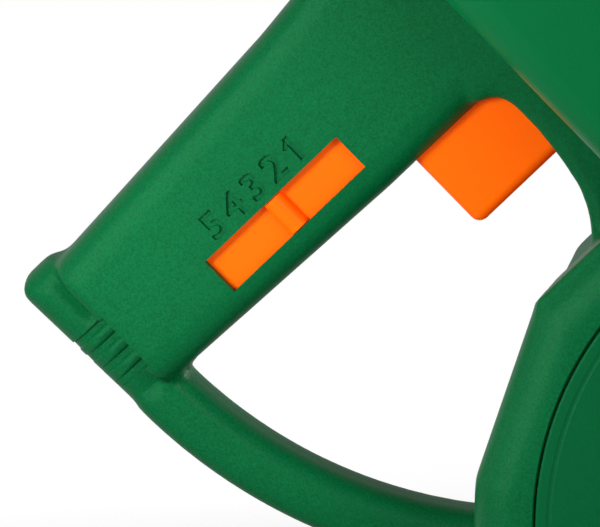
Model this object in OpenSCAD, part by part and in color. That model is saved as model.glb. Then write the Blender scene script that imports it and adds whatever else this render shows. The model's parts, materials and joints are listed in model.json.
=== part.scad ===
// Hand spreader: sizes in mm. X is forward, Z is up, and the base rim stands on z = 0.
// The spinner's axis is drawn at x = 0, y = 0, and the whole part is moved by place_x and place_y
// so that the origin is at the bottom centre of the box that holds it.

/* [Body] */
// Radius of the rounded top of the body
body_r = 104; // [96:112]
// Height of the centre of the round side panel above the base
arch_z = 42; // [40:46]
// Half of the body's width
body_hw = 60; // [57:64]
// Wall of the moulded halves
wall = 2.6; // [2:3.4]
// Rounding between the body's sides and its rim
rim_r = 13; // [10:16]
// Height of the body's flat top
top_z = 134; // [133:138]
// Radius of the round side cover
cover_r = 87; // [82:89]

/* [Handle] */
// Half of the handle's width
grip_hw = 16.5; // [16:18]
// Rounding along the handle's edges
grip_r = 9; // [6:12]
// Depth of the handle behind the trigger, from its lower to its upper edge
grip_depth = 49; // [46:54]
// Depth of the handle at its butt
butt_depth = 41; // [38:46]
// Width of the guard tube, seen from the side
guard_w = 14; // [12:16]
// Half of the guard tube's thickness
guard_hw = 9.5; // [8:11]

/* [Rate control] */
// Length of the slot in the handle
slot_len = 47; // [44:50]
// Width of the slot in the handle
slot_w = 10.5; // [9:12]
// Distance between two settings
rate_pitch = 7.2; // [6:7.4]
// Thickness of the sliding strip
strip_t = 2; // [1.6:2.2]

/* [Trigger and gates] */
// Width of the trigger along the handle
trig_len = 33; // [30:35]
// Half of the trigger's thickness
trig_hw = 9; // [7:9.2]
// Travel of the trigger
trig_travel = 16; // [12:17]
// Thickness of the two gate plates
plate_t = 2; // [1.6:2.2]
// Length of the outlet in the hopper's floor
outlet_len = 11; // [8:12]
// Width of the outlet in the hopper's floor
outlet_w = 25; // [18:26]

/* [Hopper] */
// Height of the hopper's mouth
mouth_z = 270; // [240:300]
// Half of the mouth's width
mouth_hw = 64; // [61:72]
// Rear edge of the mouth, behind the spinner's axis
mouth_back = 141; // [136:150]
// Front edge of the mouth, before the spinner's axis
mouth_front = 95; // [90:104]
// Wall of the hopper
hop_wall = 2.5; // [2:3.5]

/* [Drive] */
// Diameter of the spinner shaft
shaft_d = 6; // [5:8]
// Diameter of the crank shaft
crank_d = 8; // [7:10]
// Distance from the crank's axis to the knob's axis
crank_arm_len = 50; // [44:52]
// Radius of the knob
knob_r = 11.5; // [10:13]
// Length of the knob
knob_len = 44; // [36:52]
// Radius of the spinner disc
spin_r = 52; // [44:54]
// Height of the spinner's fins
fin_h = 11; // [8:12]

/* [Hidden] */
$fn = 48;
// Clearance between fixed pieces, and radial clearance of a running shaft
gap = 0.3;
run = 0.06;
// Faces that would lie in one plane stand this far apart
proud = 0.04;
// In the handle's frame, X runs up along the handle (called d) and Z runs up and back (called m).
low_m = 144.4;
low_butt_m = 147;
up_m = low_m + grip_depth;
up_butt_m = low_butt_m + butt_depth;
butt_d = -118;
bead_d = -121;
bead_w = 18;
bead_corner = 3;
bead_top_m = up_butt_m + 2.4;
trig_end = 1;
trig_d = trig_end - trig_len;
trig_m = 121.8;
slot_d = -63.5;
slot_m = low_m + 13.3;
wall_d = 11.6;
shoulder_m = 101.2;
// Arc of the guard
guard_c_m = 148;
guard_r = 129;
guard_c_d = bead_d - bead_w / 2 + guard_w / 2 + guard_r + 0.3;
// The strip lies under the handle's right wall, and the metering arm lies beside it
strip_y = -grip_hw + wall + gap;
arm_y = strip_y + strip_t + gap;
strip_hw = slot_w / 2 + 1.2;
peg_d = -21.5;
strip_back = 38.4;
strip_front = 16.4;
rate_half = 2 * rate_pitch;
// Share of the strip's travel that the cam slot gives to the metering plate's peg
cam_share = 0.15;
cam_slope = cam_share / (1 - cam_share);
cam_half = rate_pitch * 2 * sqrt(pow(1 - cam_share, 2) + pow(cam_share, 2)) + 0.4;
// Place and width of the metering plate's arm in the neck
meter_d = 2.85;
meter_w = 3.2;
// Heights of the hopper's floor, the plates and their guide
sump_z = arch_z + 67.5;
gate_z = sump_z - gap - plate_t;
rate_z = gate_z - gap - plate_t;
guide_z = rate_z - gap - 2.6;
outlet_x = -31;
outlet_y = -2.6;
pin_x = -62;
pin_z = gate_z + plate_t / 2;
pin_r = 1.5;
gate_travel = trig_travel * sqrt(0.5);
// Hopper: heights of its two middle outlines, their front edges, and the floor's front edge and half width
low_z = 131;
mid_z = 192;
low_front = 48;
mid_front = mouth_front - 9;
sump_front = 22;
sump_hw = 28;
rim_over = 3;
line_x = wall_d * sqrt(2) + arch_z;
floor_t = 2.5;
// Screws: radius of the pilot holes and places of the covers' and deck's screws
screw_r = 1.5;
cover_screw_at = [for (a = [55, 125, 188, 352])
    [(cover_r - 4) * cos(a), arch_z + (cover_r - 4) * sin(a)]];
deck_screw_x = [-body_r + 10, body_r - 10];
deck_screw_y = 32;
// Gears: teeth on the crown gear and the pinion, and the mean radius of the crown gear's teeth
crown_n = 60;
pinion_n = 12;
crown_r = 36;
pitch_r = crown_r * pinion_n / crown_n;
crank_z = arch_z + 26;
pinion_z = crank_z - crown_r;
crown_y = -pitch_r;
tooth_w = 7;
deck_z = pinion_z - tooth_w / 2 - 6;
deck_t = 3;
spin_z = deck_z - fin_h - 6.5;
chute_top = guide_z - gap;
crank_y = -body_hw - 10;
knob_y = crank_y - 6;
knob_end = knob_y - 0.4 - knob_len;
bead_x = (bead_d - bead_w / 2 - bead_top_m + 2 * bead_corner - proud) / sqrt(2) - bead_corner;
place_x = -(bead_x + body_r) / 2;
place_y = -(knob_end + mouth_hw + rim_over) / 2;

// A flat shape drawn in x and z, thick from y0 to y1
module slab(y0, y1) {
  translate([0, y1, 0])
    rotate([90, 0, 0])
      linear_extrude(y1 - y0)
        children();
}

// The handle's frame, turned up by 45 degrees about the panel's centre
module hf() {
  translate([0, 0, arch_z])
    rotate([0, -45, 0])
      children();
}

// A cylinder along Y
module ycyl(x, z, r, y0, y1) {
  translate([x, y1, z])
    rotate([90, 0, 0])
      cylinder(r = r, h = y1 - y0);
}

// A cylinder along Z
module zcyl(x, y, r, z0, z1) {
  translate([x, y, z0])
    cylinder(r = r, h = z1 - z0);
}

module box(x0, x1, y0, y1, z0, z1) {
  translate([x0, y0, z0])
    cube([x1 - x0, y1 - y0, z1 - z0]);
}

// A rectangle with round corners, from true arcs
module round_rect(x0, x1, y0, y1, r) {
  translate([x0 + r, y0])
    square([x1 - x0 - 2 * r, y1 - y0]);
  translate([x0, y0 + r])
    square([x1 - x0, y1 - y0 - 2 * r]);
  for (x = [x0 + r, x1 - r], y = [y0 + r, y1 - r])
    translate([x, y])
      circle(r);
}

// A long block with one rounded edge: it keeps what lies above its face u = 0 and y = -hw
module edge_block(hw, r) {
  translate([0, 0, -260])
    linear_extrude(520)
      union() {
        translate([r, -hw])
          square([400, hw + 20]);
        translate([0, -hw + r])
          square([r + 1, hw + 20 - r]);
        translate([r, -hw + r])
          circle(r);
      }
}

// The body's rounded half drum on its straight legs, as the right half
module body_form(s, z0) {
  r = rim_r - s;
  br = body_r - s;
  hw = body_hw - s;
  intersection() {
    union() {
      translate([0, 0, arch_z])
        rotate([90, 0, 0])
          rotate_extrude(angle = 180)
            drum_section(br, hw, r);
      translate([0, 0, z0])
        linear_extrude(arch_z - z0)
          leg_section(br, hw, r);
    }
    // the flat rear wall
    translate([-body_r, 0, arch_z + 7.8])
      rotate([0, 18.3, 0])
        translate([s, 0, 0])
          edge_block(hw + proud, r + 1.5);
    // the flat shoulder under the neck
    translate([0, 0, arch_z])
      rotate([0, -45, 0])
        translate([0, 0, shoulder_m - s])
          rotate([0, 90, 0])
            edge_block(hw + proud, r + 3);
    box(-300, 300, -300, 300, -10, top_z - (s > 0 ? wall : 0));
  }
}

module drum_section(br, hw, r) {
  square([br - r, hw]);
  square([br, hw - r]);
  translate([br - r, hw - r])
    circle(r);
}

module leg_section(br, hw, r) {
  translate([-br + r, -hw])
    square([2 * br - 2 * r, hw]);
  translate([-br, -hw + r])
    square([2 * br, hw - r]);
  for (x = [-br + r, br - r])
    translate([x, -hw + r])
      circle(r);
}

// Side outline of the handle, its root against the hopper and the neck below it
module handle_outline(s) {
  polygon([
    [butt_d + (s > 0 ? 2 : -4), up_butt_m - s + proud], [-41.5, up_m - s + proud],
    [-26, up_m + 1.8 - s], [-12, up_m + 6 - s], [0, up_m + 12.5 - s],
    [wall_d + (s > 0 ? -gap - s : 3), up_m + 24 - s], [wall_d + (s > 0 ? -gap - s : 3), 88],
    [-14.5 + s, 88],
    [-14.5 + s, 97.8], [-10.4 + s, 102.4], [-7.4 + s, 106.6], [-5 + s, 112],
    [-3.4 + s, 120], [-2.4 + s, 129], [-2.4 + s, low_m - 6.4 + s], [-3.4 + s, low_m - 2.8 + s],
    [-5.8 + s, low_m - 0.8 + s], [-9 + s, low_m + s], [-41, low_m + s - proud],
    [butt_d + (s > 0 ? 2 : -4), low_butt_m + s - proud]
  ]);
}

module handle_form(s) {
  hw = grip_hw - s;
  r = grip_r - s;
  slope_up = atan2(up_m - up_butt_m, -41.5 - butt_d);
  slope_low = atan2(low_butt_m - low_m, -41 - butt_d);
  hf()
    intersection() {
      slab(-hw, s > 0 ? 1 : 0)
        handle_outline(s);
      // rounded upper edge
      translate([butt_d, 0, up_butt_m - s])
        rotate([0, 90 - slope_up, 0])
          edge_block_long(hw + proud, r + proud);
      // rounded step down to the bead
      translate([butt_d - 0.3, 0, 0])
        edge_block(hw + proud, 4.5 - (s > 0 ? 2 : 0));
      // rounded lower edge, for the handle only
      union() {
        translate([butt_d, 0, low_butt_m + s])
          rotate([0, -90 + slope_low, 0])
            edge_block(hw + proud, r + proud);
        box(-34, 60, -60, 20, 60, 160);
      }
    }
}

// The same rounded block, with room above for the flare at the handle's root
module edge_block_long(hw, r) {
  union() {
    intersection() {
      edge_block(hw, r);
      box(-300, 300, -300, 300, -60, 79);
    }
    box(-60, 300, -hw - 1, 20, 78.9, 260);
  }
}

module guard_section(w, s) {
  r = min(w / 2 - 1, guard_hw - 2) - s;
  round_rect(-w / 2 + s, w / 2 - s, -guard_hw + s, guard_hw - s, r);
}

// The straight bead across the butt, with a squared end
module bead_form(s) {
  hf()
    intersection() {
      translate([bead_d, 0, guard_c_m - 8])
        linear_extrude(bead_top_m - guard_c_m + 10)
          guard_section(bead_w, s);
      slab(-30, 30)
        round_rect(bead_d - bead_w / 2 - proud, bead_d + bead_w / 2 + proud, 100, bead_top_m - s,
                   bead_corner);
    }
}

// The guard that curves from the bead to the body
module guard_form() {
  hf()
    translate([guard_c_d, 0, guard_c_m])
      rotate([90, 0, 0])
        rotate([0, 0, 180])
          rotate_extrude(angle = 47)
            translate([guard_r, 0])
              guard_section(guard_w, 0);
}

// Hollow inside the curved part of the guard
module guard_core() {
  hf()
    translate([guard_c_d, 0, guard_c_m])
      rotate([90, 0, 0])
        rotate([0, 0, 186])
          rotate_extrude(angle = 44)
            translate([guard_r, 0])
              guard_section(guard_w, wall);
}

// Fillet between the handle's lower edge and the guard
module guard_fillet() {
  r = 5;
  hf()
    slab(-guard_hw + 3, guard_hw - 3)
      difference() {
        translate([guard_c_d - guard_r + guard_w / 2 - 1, low_butt_m - r])
          square([r + 1, r + 1]);
        translate([guard_c_d - guard_r + guard_w / 2 + r, low_butt_m - r])
          circle(r);
      }
}

// Places of the screw posts that join the two halves, in the handle and in the body
grip_posts = [[-100, 178], [-70, 174], [-37, 187], [-4, 197]];
module at_posts(y0, y1, r) {
  hf()
    for (p = grip_posts)
      ycyl(p[0], p[1], r, y0, y1);
}
body_posts = [[-body_r + 10, arch_z + 14], [body_r - 10, arch_z + 14], [-body_r + 9, 12],
              [body_r - 9, arch_z - 6]];
module at_body_posts(y0, y1, r) {
  for (p = body_posts)
    ycyl(p[0], p[1], r, y0, y1);
}

// One moulded half, drawn as the right one
module half_shell() {
  difference() {
    union() {
      difference() {
        union() {
          body_form(0, 0);
          handle_form(0);
          intersection() {
            union() {
              bead_form(0);
              guard_form();
              guard_fillet();
            }
            box(-400, 400, -100, 0, -100, 400);
          }
        }
        body_form(wall, -1);
        handle_form(wall);
        guard_core();
      }
      at_posts(-grip_hw + 1, 0, 3.4);
      intersection() {
        at_body_posts(-body_hw, 0, 4);
        body_form(1, -1);
      }
      // ribs that stay the body's posts against the rim
      for (p = body_posts)
        box(min(p[0], sign(p[0]) * (body_r - 2.1)), max(p[0], sign(p[0]) * (body_r - 2.1)),
            -body_hw + 14, -2, p[1] - 1.5, p[1] + 1.5);
      // posts behind the side cover's screws
      for (p = cover_screw_at)
        ycyl(p[0], p[1], 3.6, -body_hw + 1.6, -body_hw + 10);
      // lugs that the deck hangs from
      for (x = [-body_r + 1, body_r - 17])
        box(x, x + 16, -40, -24, deck_z + deck_t, deck_z + deck_t + 9);
      // seat for the top of the trigger's spring
      hf()
        box(trig_d + trig_len / 2 - 6.5, trig_d + trig_len / 2 + 6.5, -grip_hw + 1, 0,
            spring_m1 + 1.38, up_m - 1);
    }
    at_posts(-grip_hw + wall + 1, 1, screw_r);
    at_body_posts(-body_hw + 10, 1, screw_r);
    for (p = cover_screw_at)
      ycyl(p[0], p[1], screw_r, -body_hw - 1, -body_hw + 9);
    for (x = deck_screw_x)
      zcyl(x, -deck_screw_y, screw_r, deck_z, deck_z + deck_t + 8);
    // the hopper's funnel passes through the top
    hopper_form(-gap);
    // the trigger's opening
    hf()
      box(trig_d - gap, trig_end + gap, -trig_hw - gap, 1, trig_m - 12, low_m + wall + 1.5);
    // the grooves across the bead
    difference() {
      hf()
        for (i = [0 : 3])
          translate([bead_d - bead_w / 2 - 1, -30, 154 + 4.8 * i])
            cube([bead_w - 4, 31, 2.2]);
      bead_form(1.3);
    }
    // the throwing window
    box(70, 150, -body_hw + 14, 1, 4, deck_z - 2);
    // the recess and opening for the side cover
    intersection() {
      ycyl(0, arch_z, cover_r + gap, -body_hw - 1, -body_hw + 1.5);
      box(-200, 200, -200, 0, 9, 400);
    }
    intersection() {
      ycyl(0, arch_z, cover_r - 8, -body_hw - 1, -body_hw + wall + 1);
      box(-200, 200, -200, 0, 17, 400);
    }
  }
}

module right_shell() {
  color([0.06, 0.45, 0.27])
    difference() {
      half_shell();
      // the slot for the rate slider
      hf()
        box(slot_d - slot_len / 2, slot_d + slot_len / 2, -30, -grip_hw + wall + 1,
            slot_m - slot_w / 2, slot_m + slot_w / 2);
      // the channel that the slider's strip runs in
      hf()
        box(slot_d - strip_back - rate_half - gap, peg_d + strip_front + rate_half + gap,
            strip_y - gap, strip_y + strip_t + gap, slot_m - strip_hw - gap, slot_m + strip_hw + gap);
    }
}

module left_shell() {
  color([0.06, 0.43, 0.26])
    mirror([0, 1, 0])
      difference() {
        half_shell();
        // the screws pass through this half, with their heads sunk in it
        at_posts(-grip_hw - 1, 1, screw_r + 0.1);
        at_body_posts(-body_hw - 1, 1, screw_r + 0.1);
        at_posts(-grip_hw - 1, -grip_hw + 2, 2 * screw_r + gap);
        at_body_posts(-body_hw - 1, -body_hw + 5, 2 * screw_r + gap);
      }
}

// Side cover: a disc in the recess with a flat lower edge
module cover_disc() {
  intersection() {
    ycyl(0, arch_z, cover_r, -body_hw - 0.5, -body_hw + 1.5);
    box(-200, 200, -200, 0, 9 + gap, 400);
  }
}

module right_cover() {
  color([0.05, 0.42, 0.25])
    difference() {
      union() {
        cover_disc();
        ycyl(0, crank_z, 10, -body_hw + 1, -20);
        for (a = [0 : 60 : 300])
          translate([0, -body_hw + 1.4, crank_z])
            rotate([0, a, 0])
              translate([9, 0, -1])
                cube([20, 6, 2]);
        ycyl(0, crank_z, 14, -body_hw - 2.5, -body_hw + 1);
      }
      ycyl(0, crank_z, crank_d / 2 + 2.2, -body_hw - 3, -19);
      cover_holes();
    }
}

module cover_holes() {
  for (p = cover_screw_at)
    ycyl(p[0], p[1], screw_r + 0.1, -body_hw - 3, -body_hw + 3);
}

module left_cover() {
  color([0.05, 0.42, 0.25])
    mirror([0, 1, 0])
      difference() {
        cover_disc();
        cover_holes();
      }
}

// One slice of the hopper
module slice(x0, x1, hw, r, z, t) {
  translate([0, 0, z])
    linear_extrude(t)
      round_rect(x0, x1, -hw, hw, r);
}

module hopper_form(s) {
  up = s > 0 ? 1 : 0;
  k = s * sqrt(2);
  hull() {
    slice(-mouth_back + s, mouth_front - s, mouth_hw - s, 24 - s, mouth_z - 1, 1 + up);
    slice(line_x - mid_z + k, mid_front - s, mouth_hw - 4 - s, 20 - s, mid_z, 0.1);
    slice(line_x - low_z + k, low_front - s, mouth_hw - 10 - s, 12 - s, low_z, 0.1);
    slice(line_x - sump_z + (s > 0 ? k - floor_t : 0), sump_front - s, sump_hw - s, 8 - s,
          sump_z + (s > 0 ? floor_t : 0), 0.1);
  }
}

module hopper() {
  color([0.06, 0.46, 0.27])
    difference() {
      union() {
        hopper_form(0);
        // rolled rim at the mouth
        translate([0, 0, mouth_z - 6])
          linear_extrude(6)
            difference() {
              round_rect(-mouth_back - rim_over, mouth_front + rim_over, -mouth_hw - rim_over,
                         mouth_hw + rim_over, 24 + rim_over);
              round_rect(-mouth_back + 1, mouth_front - 1, -mouth_hw + 1, mouth_hw - 1, 23);
            }
        // seat on the body's flat top
        translate([0, 0, top_z])
          linear_extrude(3)
            round_rect(-44, 46, -body_hw + 3, body_hw - 3, 8);
        // lips that hook under the edges of the body's top
        box(-20, 20, -body_hw + wall + 0.6, body_hw - wall - 0.6, top_z - wall - gap - 3.5,
            top_z - wall - gap);
        // boss for the upper bush
        zcyl(0, 0, 8, sump_z, sump_z + 9);
      }
      difference() {
        hopper_form(hop_wall);
        zcyl(0, 0, 8, sump_z, sump_z + 9);
      }
      box(outlet_x, outlet_x + outlet_len, outlet_y, outlet_y + outlet_w, sump_z - 1, sump_z + 6);
      zcyl(0, 0, shaft_d / 2 + 2, sump_z - 6, sump_z + 10);
    }
}

// Floor between the gears and the spinner
module deck() {
  color([0.08, 0.36, 0.22])
    difference() {
      translate([0, 0, deck_z])
        linear_extrude(deck_t)
          round_rect(-body_r + wall + 1, body_r - wall - 1, -body_hw + wall + gap,
                     body_hw - wall - gap, 11);
      zcyl(0, 0, shaft_d / 2 + 2, deck_z - 1, deck_z + deck_t + 1);
      box(outlet_x - 1.5, outlet_x + outlet_len + 1.5, outlet_y - 1, outlet_y + outlet_w + 1,
          deck_z - 1, deck_z + deck_t + 1);
      for (x = deck_screw_x, y = [-deck_screw_y, deck_screw_y])
        zcyl(x, y, screw_r + 0.1, deck_z - 1, deck_z + deck_t + 1);
    }
}

// Tube that drops the grains from the gates to the spinner
module chute() {
  color([0.1, 0.4, 0.24])
    difference() {
      union() {
        box(outlet_x - 3, outlet_x + outlet_len + 3, outlet_y - 2.4, outlet_y + outlet_w + 2.4,
            deck_z + deck_t + 0.02, chute_top);
        box(outlet_x - 8, outlet_x + outlet_len + 8, outlet_y - 2.4, outlet_y + outlet_w + 7,
            deck_z + deck_t + 0.02, deck_z + deck_t + 2.5);
      }
      box(outlet_x - 1.4, outlet_x + outlet_len + 1.4, outlet_y - 0.8, outlet_y + outlet_w + 0.8,
          deck_z, chute_top + 1);
    }
}

// Trigger with its stem, spring post and slotted arm
module trigger() {
  color([1.0, 0.45, 0.05]) {
    difference() {
      union() {
        hf() {
          slab(-trig_hw, trig_hw)
            union() {
              translate([trig_d + 2.5, trig_m])
                square([trig_len - 5, 32]);
              translate([trig_d, trig_m + 2.5])
                square([trig_len, 29.5]);
              for (x = [trig_d + 2.5, trig_end - 2.5])
                translate([x, trig_m + 2.5])
                  circle(2.5);
            }
          translate([trig_d + trig_len / 2, 0, trig_m + 31])
            cylinder(r = 7.5, h = 5);
          translate([trig_d + trig_len / 2, 0, trig_m + 30])
            cylinder(r = 3, h = 12);
          slab(-2.5, 2.5)
            polygon([[-6, 134], [-6, 146], [5, 146], [5, 96], [0, 96], [0, 134]]);
        }
        slab(-2.5, 2.5)
          polygon([[pin_x - 4, pin_z - gate_travel - 4], [pin_x + 4, pin_z - gate_travel - 4],
                   [pin_x + 4, pin_z + 3.4], [pin_x, pin_z + 7.4], [pin_x - 4, pin_z + 7.4]]);
      }
      slab(-3, 3)
        union() {
          translate([pin_x - pin_r - 0.1, pin_z - gate_travel - 0.3])
            square([2 * pin_r + 0.2, gate_travel + 0.6]);
          for (z = [pin_z - gate_travel - 0.3, pin_z + 0.3])
            translate([pin_x, z])
              circle(pin_r + 0.1);
        }
    }
  }
}

// Return spring, wound as one tube along the trigger's travel
spring_r = 4.6;
wire_r = 0.55;
spring_turns = 7;
spring_m0 = trig_m + 36 + wire_r + 0.02;
spring_m1 = up_m - wall - 2.2;
module trigger_spring() {
  n = 20;
  steps = spring_turns * n;
  span = spring_m1 - spring_m0 - wire_r;
  pitch = span / (spring_turns - 1.5);
  echo(least_spring_gap = pitch - 2 * wire_r);
  pts = [for (i = [0 : steps], j = [0 : 5])
      let (a = 360 * i / n, turn = i / n,
           up = pitch * min(max(turn - 0.75, 0), spring_turns - 1.5) + 0.45 * min(turn, 0.75) * 2
                + 0.45 * max(turn - spring_turns + 0.75, 0) * 2 - 0.6,
           b = 60 * j, r = spring_r + wire_r * cos(b))
        [r * cos(a), r * sin(a), up + wire_r * sin(b)]];
  faces = concat(
    [for (i = [0 : steps - 1], j = [0 : 5])
        [i * 6 + j, i * 6 + (j + 1) % 6, (i + 1) * 6 + (j + 1) % 6, (i + 1) * 6 + j]],
    [[5, 4, 3, 2, 1, 0]], [[for (j = [0 : 5]) steps * 6 + j]]);
  color([0.75, 0.76, 0.78])
    hf()
      translate([trig_d + trig_len / 2, 0, spring_m0 + 0.6])
        polyhedron(pts, faces);
}

// Shut-off plate, drawn back by the trigger's slotted arm
module gate() {
  color([0.75, 0.76, 0.78]) {
    translate([0, 0, gate_z])
      linear_extrude(plate_t)
        union() {
          translate([-46, -22])
            square([46 + outlet_x + outlet_len + 1, 48]);
          for (y = [-8, 3.5])
            translate([pin_x - 4, y])
              square([20, 4.5]);
        }
    for (y = [-8, 3.5])
      translate([pin_x - 3, y, pin_z - 2])
        cube([6, 4.5, 4]);
    ycyl(pin_x, pin_z, pin_r, -8, 8);
  }
}

// Frame under the hopper's floor that both plates slide in
module gate_guide() {
  color([0.1, 0.4, 0.24])
    difference() {
      union() {
        box(-54, outlet_x + outlet_len + 6, -26, 30, guide_z, rate_z - gap);
        box(-54, outlet_x + outlet_len + 6, -26, -22.4, guide_z, sump_z - 0.02);
        box(-54, outlet_x + outlet_len + 6, 26.4, 30, guide_z, sump_z - 0.02);
      }
      box(outlet_x - 0.5, outlet_x + outlet_len + 0.5, outlet_y - 0.5, outlet_y + outlet_w + 0.5,
          guide_z - 1, rate_z);
      // room for the trigger's arm, the metering arm and the crown gear
      box(-60, -36, -15, 9, guide_z - 1, rate_z);
      box(-26, 0, -16, -5.4, guide_z - 1, rate_z);
    }
}

// Strip with the thumb ridge, five notches and the cam slot in its tail
module rate_slider() {
  color([1.0, 0.5, 0.02])
    hf()
      difference() {
        union() {
          box(slot_d - strip_back, peg_d + strip_front, strip_y, strip_y + strip_t,
              slot_m - strip_hw, slot_m + strip_hw);
          intersection() {
            translate([slot_d, strip_y + 0.4, slot_m - slot_w / 2 + 0.3])
              cylinder(r = 3.7, h = slot_w - 0.6);
            box(slot_d - 10, slot_d + 10, -30, strip_y + 0.5, 100, 200);
          }
        }
        for (i = [-2 : 2])
          ycyl(slot_d + i * rate_pitch, slot_m + strip_hw + 0.7, 1.6, strip_y - 1,
               strip_y + strip_t + 1);
        translate([peg_d, 0, slot_m])
          rotate([0, atan(-cam_slope), 0])
            slab(strip_y - 1, strip_y + strip_t + 1)
              union() {
                translate([-cam_half, -2.1])
                  square([2 * cam_half, 4.2]);
                for (x = [-cam_half, cam_half])
                  translate([x, 0])
                    circle(2.1);
              }
      }
}

// Metering plate with the arm and peg that follow the cam slot
module rate_plate() {
  color([0.2, 0.21, 0.22]) {
    difference() {
      box(-56, outlet_x + outlet_len / 2 - 0.1, -22, 26, rate_z, rate_z + plate_t);
      // notch that clears the trigger's arm and the gate's fork
      box(-57, -50, -9, 9, rate_z - 1, rate_z + plate_t + 1);
    }
    slab(arm_y, arm_y + 2)
      union() {
        polygon([[-52, rate_z + 0.1], [-52, rate_z + plate_t - 0.1], [-62.6, rate_z + plate_t - 0.1],
                 [-62.6, rate_z + 8], [-67.5, rate_z + 8], [-67.5, rate_z + 0.1]]);
        translate([0, arch_z])
          rotate(45)
            polygon([[meter_d, 93.6], [meter_d + meter_w, 93.6], [meter_d + meter_w, slot_m + 3.5],
                     [peg_d - 3, slot_m + 3.5], [peg_d - 3, slot_m - 3.5], [meter_d, slot_m - 3.5]]);
      }
    hf()
      ycyl(peg_d, slot_m, 2, strip_y, arm_y + 1);
  }
}

// Click spring over the strip's notches
module detent_spring() {
  color([0.78, 0.79, 0.8])
    hf() {
      box(slot_d - 9, slot_d + 9, strip_y, strip_y + strip_t, slot_m + strip_hw + 1.2,
          slot_m + strip_hw + 1.7);
      ycyl(slot_d, slot_m + strip_hw + 1.3, 1, strip_y, strip_y + strip_t);
      for (x = [slot_d - 9.5, slot_d + 8.5])
        translate([x, -grip_hw + wall, slot_m + strip_hw + 1.2])
          cube([1, 4, 3.5]);
    }
}

module crank_arm() {
  color([1.0, 0.45, 0.05])
    translate([0, crank_y, crank_z])
      rotate([90, 0, 0])
        difference() {
          union() {
            linear_extrude(6)
              union() {
                circle(12);
                translate([0, -crank_arm_len])
                  circle(9);
                polygon([[-10, -4], [10, -4], [8, -crank_arm_len], [-8, -crank_arm_len]]);
              }
            translate([0, 0, -6.5])
              cylinder(r = 9, h = 7);
          }
          translate([0, 0, -8])
            intersection() {
              cylinder(r = crank_d / 2 + 0.02, h = 12.5);
              translate([-10, -10, 0])
                cube([20, 10 + crank_d / 2 - 1.2, 30]);
            }
          translate([0, 0, -1])
            cylinder(r = 2.1, h = 10);
          translate([0, -crank_arm_len, -1])
            cylinder(r = 2.5, h = 10);
        }
}

// Steel shaft with a flat at each end, running through the cover's two bushes
module crank_shaft() {
  color([0.72, 0.73, 0.75])
    difference() {
      ycyl(0, crank_z, crank_d / 2, crank_y - 4, -10.5);
      box(-10, 10, crank_y - 5, crank_y + 6.6, crank_z + crank_d / 2 - 1.2, crank_z + 20);
      ycyl(0, crank_z, 1.5, crank_y - 5, crank_y + 12);
    }
}

module crank_screw() {
  color([0.7, 0.71, 0.73])
    difference() {
      union() {
        ycyl(0, crank_z, 1.48, crank_y - 6, crank_y + 8);
        ycyl(0, crank_z, 4, crank_y - 8.4, crank_y - 6);
      }
      box(-2.6, 2.6, crank_y - 9, crank_y - 7.4, crank_z - 0.5, crank_z + 0.5);
      box(-0.5, 0.5, crank_y - 9, crank_y - 7.4, crank_z - 2.6, crank_z + 2.6);
    }
}

module knob() {
  color([0.1, 0.1, 0.1])
    translate([0, knob_y - 0.4, crank_z - crank_arm_len])
      rotate([90, 0, 0])
        difference() {
          rotate_extrude()
            difference() {
              union() {
                square([knob_r - 2, knob_len]);
                translate([0, 3])
                  square([knob_r, knob_len - 9]);
                translate([knob_r - 3, 3])
                  circle(3);
                translate([knob_r - 6, knob_len - 6])
                  circle(6);
              }
              translate([-20, -20])
                square([20, 100]);
              translate([knob_r + 30.6, knob_len * 0.45])
                circle(32);
            }
          translate([0, 0, -1])
            cylinder(r = 2.5 + run, h = knob_len + 2);
          translate([0, 0, knob_len - 4])
            cylinder(r = 5.4, h = 5);
        }
}

// Shoulder rivet that holds the knob to the arm
module knob_pin() {
  color([0.7, 0.71, 0.73])
    translate([0, knob_y, crank_z - crank_arm_len])
      rotate([90, 0, 0])
        union() {
          translate([0, 0, -6])
            cylinder(r = 2.48, h = knob_len + 3);
          translate([0, 0, knob_len - 3.3])
            cylinder(r = 5, h = 2.2);
          translate([0, 0, -7.5])
            cylinder(r = 4, h = 1.5);
        }
}

// Crown gear: radial teeth on the face towards the pinion
module crown_gear() {
  w = 360 / crown_n;
  ri = crown_r - tooth_w / 2;
  ro = crown_r + tooth_w / 2;
  color([0.9, 0.9, 0.86])
    difference() {
      union() {
        difference() {
          translate([0, crown_y - 1.35, crank_z])
            rotate([90, 0, 0])
              cylinder(r = ro, h = 4);
          translate([0, crown_y, crank_z])
            rotate([90, 0, 0])
              difference() {
                cylinder(r = ri - 4, h = 3.4);
                cylinder(r = 9, h = 9);
                for (a = [0 : 60 : 300])
                  rotate([0, 0, a])
                    translate([0, -1.2, 0])
                      cube([40, 2.4, 9]);
              }
        }
        ycyl(0, crank_z, 7.5, -19.4, crown_y - 1);
        translate([0, crown_y, crank_z])
          rotate([90, 0, 0])
            for (i = [0 : crown_n - 1])
              rotate([0, 0, i * w])
                crown_tooth(ri, ro);
      }
      ycyl(0, crank_z, crank_d / 2 - 0.02, -20, 0);
    }
}

// One tooth, drawn on the crown's face with its tip towards the pinion
module crown_tooth(ri, ro) {
  p = 2 * PI * crown_r / crown_n;
  translate([ri, 0, 0])
    rotate([90, 0, 90])
      linear_extrude(ro - ri)
        polygon([[-0.30 * p, 1.5], [-0.11 * p, -0.95], [0.11 * p, -0.95], [0.30 * p, 1.5]]);
}

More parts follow.
